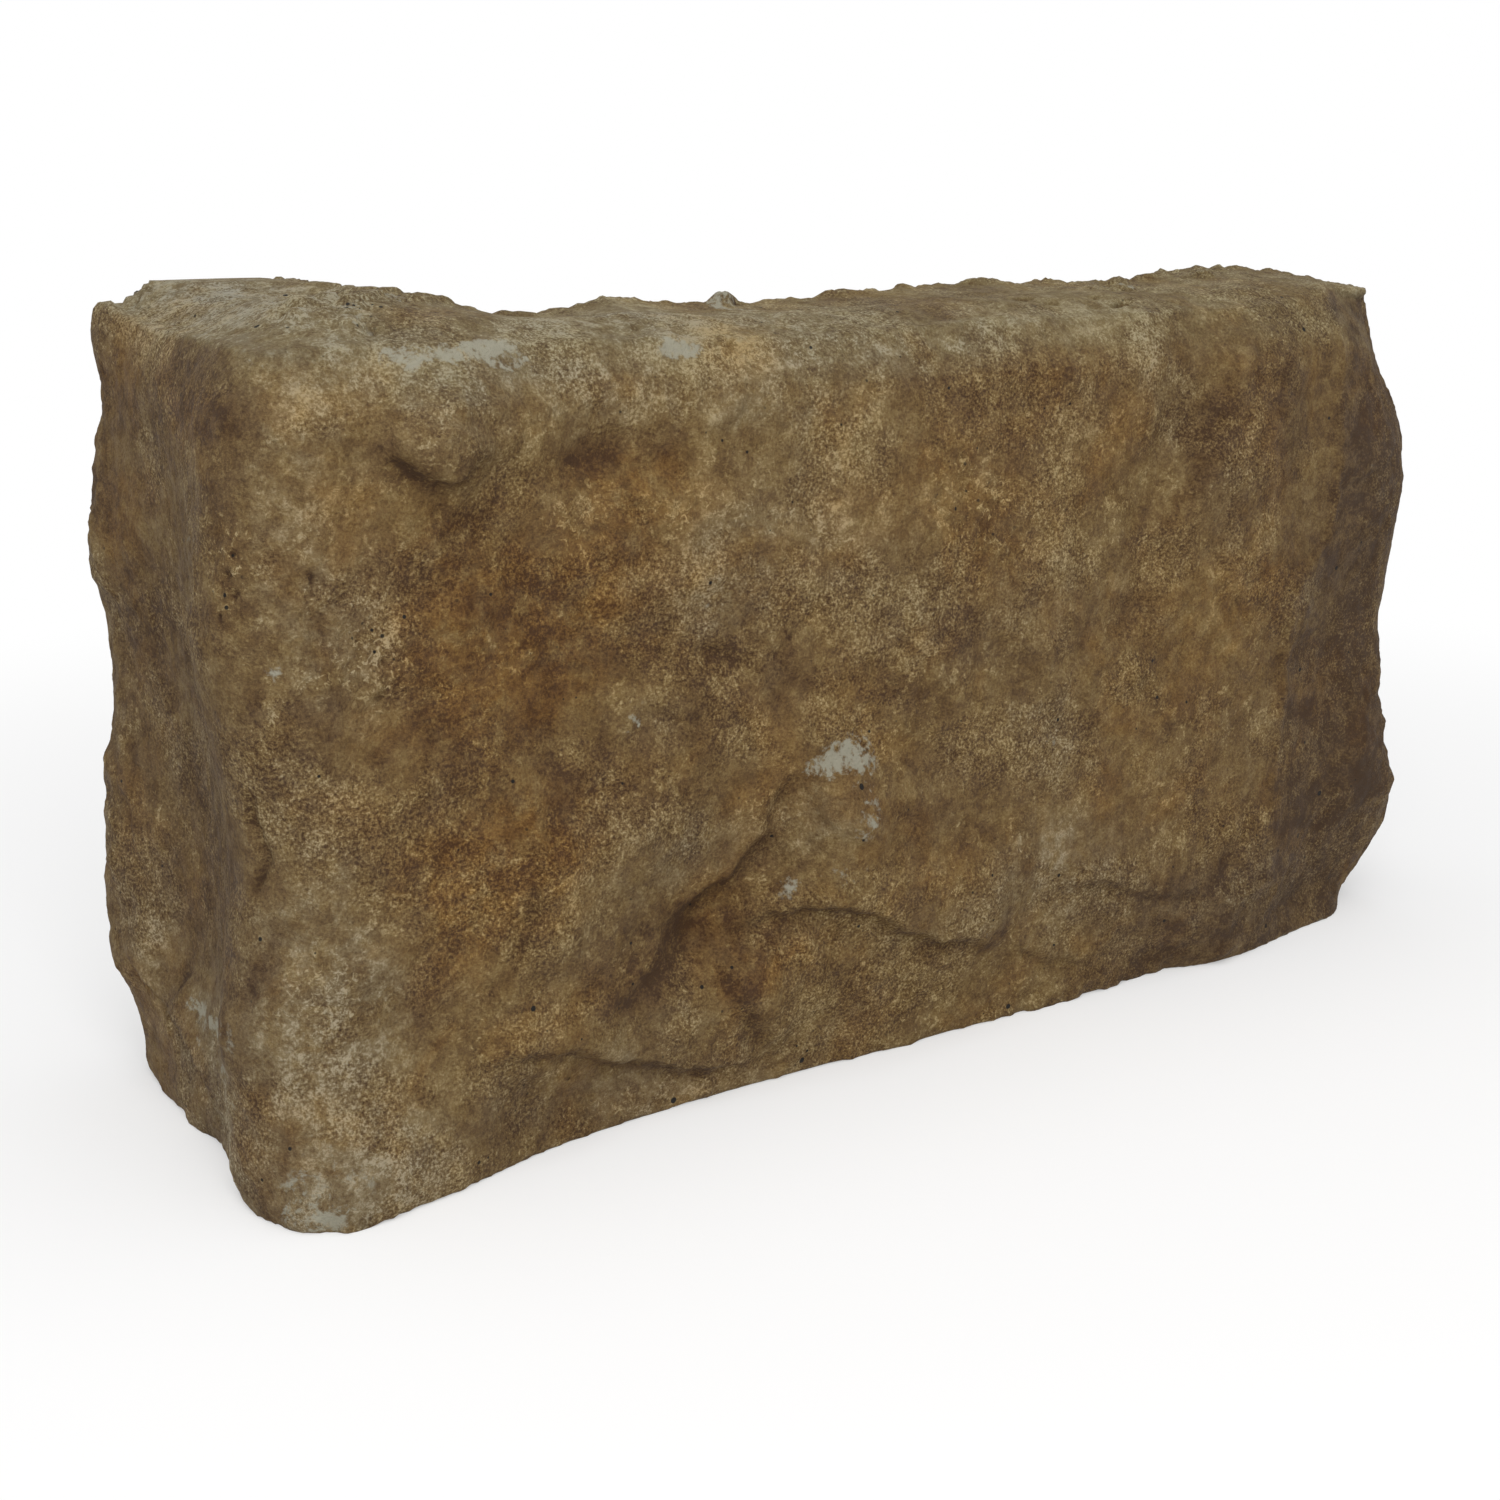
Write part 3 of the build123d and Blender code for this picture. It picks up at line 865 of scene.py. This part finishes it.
class Wiring:
    """Lays out the nodes of one tree."""

    def __init__(self, tree: bpy.types.NodeTree) -> None:
        """Keeps the tree."""
        self.tree = tree

    def put(self, socket: bpy.types.NodeSocket, value: object) -> None:
        """Links a socket, or sets a number or colour on it.

        Args:
            socket: the socket.
            value: another node's socket, or the number or colour itself.
        """
        if isinstance(value, bpy.types.NodeSocket):
            self.tree.links.new(value, socket)
        else:
            socket.default_value = value

    def math(
        self, operation: str, first: object, second: object, third: object = 0.0
    ) -> bpy.types.NodeSocket:
        """Joins two or three fields by that operation.

        Args:
            operation: the math node's operation.
            first: the first field or number.
            second: the second.
            third: the third, where the operation takes one.

        Returns:
            the new field.
        """
        made = self.tree.nodes.new("ShaderNodeMath")
        made.operation = operation
        for i, value in enumerate((first, second, third)):
            self.put(made.inputs[i], value)
        return made.outputs[0]

    def ramp(
        self, value: object, low: float, high: float, start: float = 0, end: float = 1
    ) -> bpy.types.NodeSocket:
        """Spreads a range of a field smoothly over another.

        Args:
            value: the field.
            low: where it starts.
            high: where it ends.
            start: the value given at low.
            end: the value given at high.

        Returns:
            the new field.
        """
        made = self.tree.nodes.new("ShaderNodeMapRange")
        made.interpolation_type = "SMOOTHSTEP"
        for i, number in enumerate((value, low, high, start, end)):
            self.put(made.inputs[i], number)
        return made.outputs[0]

    def shader_mix(self, share: object, first: object, second: object) -> bpy.types.NodeSocket:
        """Mixes two shaders.

        Args:
            share: how much of the second.
            first: the first shader.
            second: the second shader.

        Returns:
            the mixed shader.
        """
        made = self.tree.nodes.new("ShaderNodeMixShader")
        for i, value in enumerate((share, first, second)):
            self.put(made.inputs[i], value)
        return made.outputs[0]

    def seen(self, share: object) -> bpy.types.NodeSocket:
        """Keeps a share only for the rays that show the backdrop: camera, glossy and transmission.

        Args:
            share: the share, a field or a number.

        Returns:
            the share for those rays, and 0 for all others.
        """
        path = self.tree.nodes.new("ShaderNodeLightPath").outputs
        rays = self.math("MAXIMUM", path["Is Camera Ray"], path["Is Glossy Ray"])
        return self.math("MULTIPLY", self.math("MAXIMUM", rays, path["Is Transmission Ray"]), share)


class Recipe(Wiring):
    """Lays out the nodes of one material."""

    def __init__(self, name: str) -> None:
        """Makes the empty material of that name.

        Args:
            name: the material's name.
        """
        self.material = bpy.data.materials.new(name)
        self.material.use_nodes = True
        super().__init__(self.material.node_tree)
        self.shader = self.tree.nodes["Principled BSDF"]
        self.place = self.tree.nodes.new("ShaderNodeTexCoord").outputs["Object"]

    def shifted(self, seed: float) -> bpy.types.NodeSocket:
        """Moves the pattern's coordinates, so that layers don't line up.

        Args:
            seed: what sets one layer apart from another.

        Returns:
            the moved Object coordinates.
        """
        moved = self.tree.nodes.new("ShaderNodeVectorMath")
        moved.operation = "ADD"
        self.put(moved.inputs[0], self.place)
        moved.inputs[1].default_value = (seed, seed * 0.7, -seed)
        return moved.outputs[0]

    def noise(
        self, size: float, seed: float, detail: float = 4, rough: float = 0.6, warp: float = 0
    ) -> bpy.types.NodeSocket:
        """Makes a noise field.

        Args:
            size: the size of its largest forms, in millimetres.
            seed: what sets it apart from the others.
            detail: the number of finer layers.
            rough: the weight of those layers.
            warp: the distortion.

        Returns:
            the field, about 0.5 with a spread of 0.1.
        """
        made = self.tree.nodes.new("ShaderNodeTexNoise")
        self.put(made.inputs["Vector"], self.shifted(seed))
        made.inputs["Scale"].default_value = 1 / (size * MM)
        made.inputs["Detail"].default_value = detail
        made.inputs["Roughness"].default_value = rough
        made.inputs["Distortion"].default_value = warp
        return made.outputs["Fac"]

    def dots(self, size: float, seed: float, radius: float, share: float) -> bpy.types.NodeSocket:
        """Scatters round dots.

        Args:
            size: the distance between their places, in millimetres.
            seed: what sets them apart.
            radius: a dot's radius, in millimetres.
            share: the share of the places that has one.

        Returns:
            the field, 1 in a dot.
        """
        made = self.tree.nodes.new("ShaderNodeTexVoronoi")
        self.put(made.inputs["Vector"], self.shifted(seed))
        made.inputs["Scale"].default_value = 1 / (size * MM)
        own = self.tree.nodes.new("ShaderNodeSeparateColor")
        self.put(own.inputs[0], made.outputs["Color"])
        bound = self.ramp(own.outputs[1], 0, 1, 0.5 * radius / size, 1.1 * radius / size)
        near = self.math("SUBTRACT", bound, made.outputs["Distance"])
        chosen = self.math("LESS_THAN", own.outputs[0], share)
        return self.math("MULTIPLY", self.ramp(near, -0.06 / size, 0.12 / size), chosen)

    def total(
        self, start: float, parts: tuple[tuple[bpy.types.NodeSocket, float, float], ...]
    ) -> object:
        """Adds weighted fields to a number, as rows of a field, its weight and its zero.

        Args:
            start: the number.
            parts: each field with its weight and the value at which it adds nothing.

        Returns:
            the sum, as a field.
        """
        value: object = start - sum(weight * middle for _, weight, middle in parts)
        for socket, weight, _ in parts:
            value = self.math("MULTIPLY_ADD", socket, weight, value)
        return value

    def mix(self, share: object, first: object, second: object, blend: str = "MIX") -> bpy.types.NodeSocket:
        """Mixes two colours.

        Args:
            share: how much of the second.
            first: the first colour.
            second: the second colour.
            blend: how they are mixed.

        Returns:
            the mixed colour.
        """
        made = self.tree.nodes.new("ShaderNodeMix")
        made.data_type = "RGBA"
        made.blend_type = blend
        self.put(made.inputs["Factor"], share)
        self.put(made.inputs[6], first)
        self.put(made.inputs[7], second)
        return made.outputs[2]

    def shades(
        self, value: object, stops: tuple[tuple[float, tuple[float, float, float]], ...]
    ) -> bpy.types.NodeSocket:
        """Turns a field into colours.

        Args:
            value: the field, from 0 to 1.
            stops: each stop's place and colour.

        Returns:
            the colour.
        """
        made = self.tree.nodes.new("ShaderNodeValToRGB")
        self.put(made.inputs[0], value)
        band = made.color_ramp.elements
        while len(band) < len(stops):
            band.new(0.5)
        for element, (place, colour) in zip(band, stops):
            element.position = place
            element.color = (*colour, 1)
        return made.outputs[0]

    def painted(self, name: str) -> bpy.types.NodeSocket:
        """Reads an amount that is painted on the mesh.

        Args:
            name: the attribute's name.

        Returns:
            the amount, as a field.
        """
        made = self.tree.nodes.new("ShaderNodeAttribute")
        made.attribute_name = name
        return made.outputs["Fac"]


@dataclass(frozen=True)
class StoneFinish:
    """Pigmented cast stone: one scale of tones from umber to pale sand, shifted in hue by patches."""

    name: str = "pigmented_cast_stone"
    tones: tuple[tuple[float, tuple[float, float, float]], ...] = (
        (0.0, (0.054, 0.027, 0.0098)),
        (0.22, (0.100, 0.055, 0.0188)),
        (0.45, (0.146, 0.089, 0.031)),
        (0.68, (0.206, 0.138, 0.0525)),
        (1.0, (0.37, 0.28, 0.136)),
    )
    rust: tuple[float, float, float, float] = (1.12, 0.95, 0.70, 1)
    grey: tuple[float, float, float, float] = (0.95, 1.05, 1.42, 1)
    struck: tuple[float, float, float, float] = (0.88, 0.98, 1.16, 1)
    bare: tuple[float, float, float, float] = (0.31, 0.295, 0.225, 1)
    cement: tuple[float, float, float, float] = (0.27, 0.24, 0.185, 1)
    cement_dark: tuple[float, float, float, float] = (0.19, 0.163, 0.118, 1)
    # near black: painted shade in the pinholes and pores
    pore_shade: tuple[float, float, float, float] = (0.010, 0.008, 0.006, 1)

    def pigment(self, r: Recipe, sand: bpy.types.NodeSocket) -> bpy.types.NodeSocket:
        """Works out the tone and the hue of the pigmented rock.

        Args:
            r: the material's recipe.
            sand: the height of the sand grains.

        Returns:
            the colour.
        """
        loose = r.ramp(r.noise(6, 2.6, detail=5, rough=0.7, warp=0.3), 0.34, 0.66, 0.35, 1.5)
        umber = r.math("MULTIPLY", r.painted("umber"), loose)
        ochre = r.math("MULTIPLY", r.painted("ochre"), loose)
        ochre = r.math("MULTIPLY_ADD", umber, 0.3, ochre)
        olive = r.math("MULTIPLY", r.painted("olive"), loose)
        dust = r.math("MULTIPLY", r.painted("dust"), loose)
        rough = r.painted("rough")
        flecks = r.ramp(r.noise(1.9, 12.7, detail=4, rough=0.68, warp=1.0), 0.54, 0.62)
        worn = r.ramp(r.noise(24, 14.2, detail=3, rough=0.6), 0.47, 0.62, 0.15, 1)
        bright = r.math("MULTIPLY", flecks, r.math("ADD", worn, rough))
        sandy = r.ramp(r.noise(26, 36.3, detail=4, rough=0.6, warp=0.4), 0.42, 0.6, 0.55, 1.5)
        tone = r.total(
            0.49,
            (
                (r.noise(36, 1.3, detail=5, rough=0.6, warp=0.7), 0.72, 0.5),
                (r.ramp(r.noise(12, 4.1, detail=7, rough=0.74, warp=0.5), 0.42, 0.58), 0.22, 0.5),
                (r.ramp(r.noise(4, 5.2, detail=5, rough=0.74, warp=0.3), 0.43, 0.57), 0.19, 0.5),
                (r.math("MULTIPLY", r.math("SUBTRACT", sand, 0.5), sandy), 1.85, 0.0),
                # darker: umber pigment, and painted shade on low ground
                (umber, -0.30, 0.0),
                (dust, 0.22, 0.0),
                # painted shade on the far end, the low chips and the sides turned from the light
                (r.painted("slate"), -0.38, 0.0),
                (r.painted("struck"), 0.10, 0.0),
                (r.painted("small"), 0.045, 0.0),
                # painted shade in the grooves, hollows and pits
                (r.painted("groove"), -0.30, 0.0),
                (r.painted("painted_pit_shade"), -0.9, 0.0),
                (bright, 0.34, 0.1),
            ),
        )
        colour = r.shades(tone, self.tones)
        warm = r.ramp(r.noise(27, 7.9, detail=4, rough=0.6, warp=0.5), 0.50, 0.66, 0, 0.42)
        colour = r.mix(r.math("ADD", warm, ochre), colour, self.rust, "MULTIPLY")
        cool = r.ramp(r.noise(21, 9.4, detail=4, rough=0.62, warp=0.5), 0.52, 0.68, 0, 0.3)
        # the painted shade turns cooler, as olive, dust and the cool patches do
        cool = r.total(0.0, ((cool, 1, 0), (olive, 0.9, 0), (dust, 0.6, 0), (r.painted("slate"), 0.7, 0)))
        colour = r.mix(cool, colour, self.grey, "MULTIPLY")
        return r.mix(r.painted("struck"), colour, self.struck, "MULTIPLY")

    def blemishes(self, r: Recipe, colour: bpy.types.NodeSocket) -> bpy.types.NodeSocket:
        """Lays the bare patches over the pigment, and painted shade in the pinholes and the pores.

        Args:
            r: the material's recipe.
            colour: the pigment.

        Returns:
            the colour with its blemishes.
        """
        worn = r.total(
            0.0,
            (
                (r.painted("bare"), 0.9, 0),
                (r.noise(7, 6.5, detail=6, rough=0.72, warp=0.5), 2.4, 0.5),
                (r.noise(1.4, 16.5, detail=3, rough=0.6), 1.1, 0.5),
            ),
        )
        gate = r.ramp(r.painted("bare"), 0.05, 0.4)
        share = r.math("MULTIPLY", r.ramp(worn, 0.42, 0.82, 0, 0.9), gate)
        colour = r.mix(share, colour, self.bare)
        # painted shade in the pinholes and the open pores
        holes = r.dots(11, 15.1, 0.85, 0.55)
        pores = r.math("MULTIPLY", r.dots(2.4, 18.3, 0.50, 0.6), r.ramp(r.painted("rough"), 0.25, 0.8))
        few = r.math("MULTIPLY", r.dots(4.2, 19.9, 0.42, 0.6), r.ramp(r.noise(30, 20.2), 0.45, 0.58))
        return r.mix(r.math("MAXIMUM", r.math("MAXIMUM", holes, pores), few), colour, self.pore_shade)

    def walls(self, r: Recipe, colour: bpy.types.NodeSocket) -> bpy.types.NodeSocket:
        """Leaves bare cement on the flat cast faces, where no pigment went.

        Args:
            r: the material's recipe.
            colour: the rock's colour.

        Returns:
            the colour of rock and walls.
        """
        cloud = r.ramp(r.noise(46, 21.0, detail=6, rough=0.62), 0.38, 0.62)
        cement = r.mix(cloud, self.cement, self.cement_dark)
        blotch = r.noise(7, 24.0, detail=5, rough=0.7)
        grain = r.noise(1.2, 25.0, detail=3, rough=0.6)
        tone = r.total(1.0, ((blotch, 0.9, 0.5), (grain, 0.9, 0.5)))
        cement = r.mix(1.0, cement, self.grey_of(r, tone), "MULTIPLY")
        # painted shade in the cement's pinholes
        cement = r.mix(r.dots(9, 27.0, 1.1, 0.5), cement, self.pore_shade)
        cement = r.mix(r.dots(4, 28.0, 0.5, 0.4), cement, self.pore_shade)
        edge = r.total(0.0, ((r.painted("wall"), 1.0, 0), (r.noise(8, 29.0, detail=5, rough=0.65), 1.4, 0.5)))
        return r.mix(r.ramp(edge, 0.35, 0.65), colour, cement)

    def grey_of(self, r: Recipe, value: bpy.types.NodeSocket) -> bpy.types.NodeSocket:
        """Makes an even grey of a field.

        Args:
            r: the material's recipe.
            value: the field.

        Returns:
            the grey.
        """
        made = r.tree.nodes.new("ShaderNodeCombineColor")
        for i in range(3):
            r.put(made.inputs[i], value)
        return made.outputs[0]

    def build(self) -> bpy.types.Material:
        """Makes the stone's material.

        Returns:
            the material.
        """
        r = Recipe(self.name)
        sand = r.noise(0.72, 8.4, detail=3, rough=0.7)
        colour = self.blemishes(r, self.pigment(r, sand))
        r.put(r.shader.inputs["Base Color"], self.walls(r, colour))
        r.put(r.shader.inputs["Roughness"], r.ramp(r.noise(6, 35.0), 0.35, 0.65, 0.74, 0.95))
        r.shader.inputs["Specular IOR Level"].default_value = 0.28
        height = r.total(0.0, ((r.noise(3.2, 31.0, detail=4, rough=0.7), 1.0, 0.5), (sand, 0.75, 0.5)))
        bump = r.tree.nodes.new("ShaderNodeBump")
        bump.inputs["Strength"].default_value = 1.0
        bump.inputs["Distance"].default_value = 0.0011
        r.put(bump.inputs["Height"], height)
        r.put(r.shader.inputs["Normal"], bump.outputs[0])
        return r.material


@dataclass
class CastStone:
    """The casting itself, cut fine and carved.

    cell is the fine mesh's, and inside how far the relief keeps from the solid's box. The wall faces
    are bare cement up to wall_top, and the last four sizes tell them from the rock, in millimetres.
    """

    node: str = "corner_stone"
    slot: str = "cast_stone"
    cell: float = 1.0
    triangles: int = 196000
    inside: float = 0.08
    wall_top: float = 190
    wall_depth: float = 3
    heel: float = 14
    base_height: float = 2
    carving: Carving = field(default_factory=Carving)
    pigments: Pigments = field(default_factory=Pigments)
    finish: StoneFinish = field(default_factory=StoneFinish)

    def fine_copy(self, source: bpy.types.Object) -> bpy.types.Object:
        """Copies the solid and cuts it into small even cells.

        Args:
            source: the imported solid's object.

        Returns:
            the copy, a new object.
        """
        bm = bmesh.new()
        bm.from_mesh(source.data)
        bmesh.ops.remove_doubles(bm, verts=bm.verts, dist=1e-6)
        mesh = bpy.data.meshes.new("rock_skin")
        bm.to_mesh(mesh)
        bm.free()
        piece = bpy.data.objects.new("rock_skin", mesh)
        bpy.context.scene.collection.objects.link(piece)
        remesh = piece.modifiers.new("cells", "REMESH")
        remesh.mode = "VOXEL"
        remesh.voxel_size = self.cell * 1 * MM
        remesh.use_smooth_shade = True
        smooth = piece.modifiers.new("even", "SMOOTH")
        smooth.factor = 0.5
        smooth.iterations = 4
        self.apply_modifiers(piece)
        return piece

    def apply_modifiers(self, piece: bpy.types.Object) -> None:
        """Bakes the piece's modifiers into its mesh.

        Args:
            piece: the piece.
        """
        graph = bpy.context.evaluated_depsgraph_get()
        baked = bpy.data.meshes.new_from_object(piece.evaluated_get(graph))
        piece.modifiers.clear()
        piece.data = baked

    def wall_share(self, points: np.ndarray, normals: np.ndarray) -> np.ndarray:
        """Finds the flat cast faces: both wall faces, the heel and the base.

        Args:
            points: the points, in millimetres.
            normals: their normals.

        Returns:
            how far each point belongs to them, from 0 to 1.
        """
        inner = (points[:, :2] > -self.wall_depth / 2).all(axis=1) & (points[:, 2] < self.wall_top)
        back = np.clip(np.maximum(normals[:, 0], normals[:, 1]) * 3 - 1.6, 0, 1)
        back = back * inner * ((points[:, 0] < self.heel) | (points[:, 1] < self.wall_depth))
        foot = np.clip(-normals[:, 2] * 4 - 2.8, 0, 1) * (points[:, 2] < self.base_height)
        return np.maximum(back, foot)

    def skin_of(self, mesh: bpy.types.Mesh) -> Skin:
        """Reads the mesh's points and normals.

        Args:
            mesh: the fine mesh.

        Returns:
            its skin.
        """
        places, turned = np.empty(len(mesh.vertices) * 3), np.empty(len(mesh.vertices) * 3)
        mesh.vertices.foreach_get("co", places)
        mesh.vertices.foreach_get("normal", turned)
        points, normals = places.reshape(-1, 3) / MM, turned.reshape(-1, 3)
        return Skin(points, normals, self.wall_share(points, normals))

    def carve(self, mesh: bpy.types.Mesh) -> None:
        """Lifts the mesh's points into the relief, and paints the amounts that the finish reads.

        Args:
            mesh: the fine mesh.
        """
        skin = self.skin_of(mesh)
        amounts = self.pigments.build(skin)
        lift, carved = self.carving.build(skin, amounts["rough"])
        # the facets' painted shade joins that of the stains
        carved["slate"] = np.maximum(carved["slate"], amounts["slate"])
        points = skin.points + skin.normals * lift[:, None]
        low, high = np.array(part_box(self.node)) / MM
        points = np.clip(points, low + self.inside, high - self.inside)
        mesh.vertices.foreach_set("co", (points * MM).ravel())
        mesh.update()
        for name, values in {**amounts, **carved, "wall": skin.wall}.items():
            layer = mesh.attributes.new(name, "FLOAT", "POINT")
            layer.data.foreach_set("value", values.astype(np.float32))

    def build(self, source: bpy.types.Object) -> bpy.types.Object:
        """Builds the carved stone.

        Args:
            source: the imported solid's object.

        Returns:
            the finished piece.
        """
        piece = self.fine_copy(source)
        self.carve(piece.data)
        faces = sum(len(p.vertices) - 2 for p in piece.data.polygons)
        if faces > self.triangles:
            thin = piece.modifiers.new("thin", "DECIMATE")
            thin.ratio = self.triangles / faces
            self.apply_modifiers(piece)
        piece.name = "carved_corner_stone"
        piece.data.name = "carved_corner_stone"
        piece.data.polygons.foreach_set("use_smooth", [True] * len(piece.data.polygons))
        piece.data.materials.clear()
        piece.data.materials.append(self.finish.build())
        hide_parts(self.node)
        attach(piece, "root")
        return piece


@dataclass(frozen=True)
class Lamp:
    """A square soft lamp: its power in watts, its side and its place in metres."""

    name: str
    power: float
    size: float
    place: tuple[float, float, float]


@dataclass
class Studio:
    """The floor, the white backdrop, the soft light and the camera.

    The floor is floor_tone and turns white from near to far away from its middle. fill is the
    strength of the room's even light.
    """

    eye: tuple[float, float, float] = (-0.18982, -0.45317, 0.22851)
    pitch: float = 15.841
    heading: float = 33.014
    lens: float = 49.43
    fill: float = 0.42
    near: float = 0.22
    far: float = 0.62
    least_white: float = 0.35
    middle: tuple[float, float, float] = (0.13, 0.0, 0.0)
    floor_tone: float = 0.92
    aim: tuple[float, float, float] = (0.1, 0.0, 0.1)
    lamps: tuple[Lamp, ...] = (
        Lamp("top_light", 9, 1.4, (0.0, -0.2, 1.6)),
        Lamp("key_light", 21, 1.2, (-0.55, -1.25, 1.25)),
    )

    def floor(self) -> None:
        """Makes the plain pale floor, which fades into the white backdrop."""
        bm = bmesh.new()
        bmesh.ops.create_grid(bm, x_segments=1, y_segments=1, size=6)
        mesh = bpy.data.meshes.new("studio_floor")
        bm.to_mesh(mesh)
        bm.free()
        floor = bpy.data.objects.new("studio_floor", mesh)
        bpy.context.scene.collection.objects.link(floor)
        r = Recipe("studio_floor")
        r.shader.inputs["Base Color"].default_value = (*[self.floor_tone] * 3, 1)
        r.shader.inputs["Roughness"].default_value = 0.9
        r.shader.inputs["Specular IOR Level"].default_value = 0.0
        white = r.tree.nodes.new("ShaderNodeEmission")
        white.inputs["Strength"].default_value = 1.0
        away = r.tree.nodes.new("ShaderNodeVectorMath")
        away.operation = "DISTANCE"
        r.put(away.inputs[0], r.place)
        away.inputs[1].default_value = self.middle
        fade = r.seen(r.ramp(away.outputs["Value"], self.near, self.far, self.least_white, 1.0))
        surface = r.shader_mix(fade, r.shader.outputs[0], white.outputs[0])
        r.put(r.tree.nodes["Material Output"].inputs["Surface"], surface)
        mesh.materials.append(r.material)

    def hang(self, lamp: Lamp) -> None:
        """Hangs one soft lamp, which looks at the stone.

        Args:
            lamp: the lamp.
        """
        data = bpy.data.lights.new(lamp.name, "AREA")
        data.energy = lamp.power
        data.size = lamp.size
        hung = bpy.data.objects.new(lamp.name, data)
        hung.location = lamp.place
        way = Vector(self.aim) - Vector(lamp.place)
        hung.rotation_euler = way.to_track_quat("-Z", "Y").to_euler()
        bpy.context.scene.collection.objects.link(hung)

    def world(self) -> None:
        """Sets the even light of the room, white where the camera looks at it."""
        world = bpy.data.worlds.new("studio")
        bpy.context.scene.world = world
        world.use_nodes = True
        wiring = Wiring(world.node_tree)
        wiring.tree.nodes.clear()
        out = wiring.tree.nodes.new("ShaderNodeOutputWorld")
        lights = []
        for strength in (self.fill, 1.0):
            light = wiring.tree.nodes.new("ShaderNodeBackground")
            light.inputs["Strength"].default_value = strength
            light.inputs["Color"].default_value = (1, 1, 1, 1)
            lights.append(light.outputs[0])
        wiring.put(out.inputs["Surface"], wiring.shader_mix(wiring.seen(1.0), *lights))

    def camera(self) -> None:
        """Sets the camera where the photograph was taken from."""
        data = bpy.data.cameras.new("camera")
        data.lens = self.lens
        data.sensor_width = 36
        data.clip_start, data.clip_end = 0.01, 50
        camera = bpy.data.objects.new("camera", data)
        camera.location = self.eye
        camera.rotation_euler = Euler((math.radians(90 - self.pitch), 0, math.radians(-self.heading)))
        bpy.context.scene.collection.objects.link(camera)
        bpy.context.scene.camera = camera

    def build(self) -> None:
        """Builds the whole studio."""
        bpy.context.scene.view_settings.view_transform = "Standard"
        self.camera()
        self.floor()
        self.world()
        for lamp in self.lamps:
            self.hang(lamp)


def main() -> None:
    """Builds the studio and the stone."""
    logging.basicConfig(level=logging.INFO, format="%(name)s: %(message)s")
    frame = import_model()
    Studio().build()
    log.info("studio: floor, world, camera and two lamps")
    stone = CastStone().build(frame["nodes"]["corner_stone"])
    log.info("%s: %d faces", stone.name, len(stone.data.polygons))


if __name__ == "__main__":
    main()
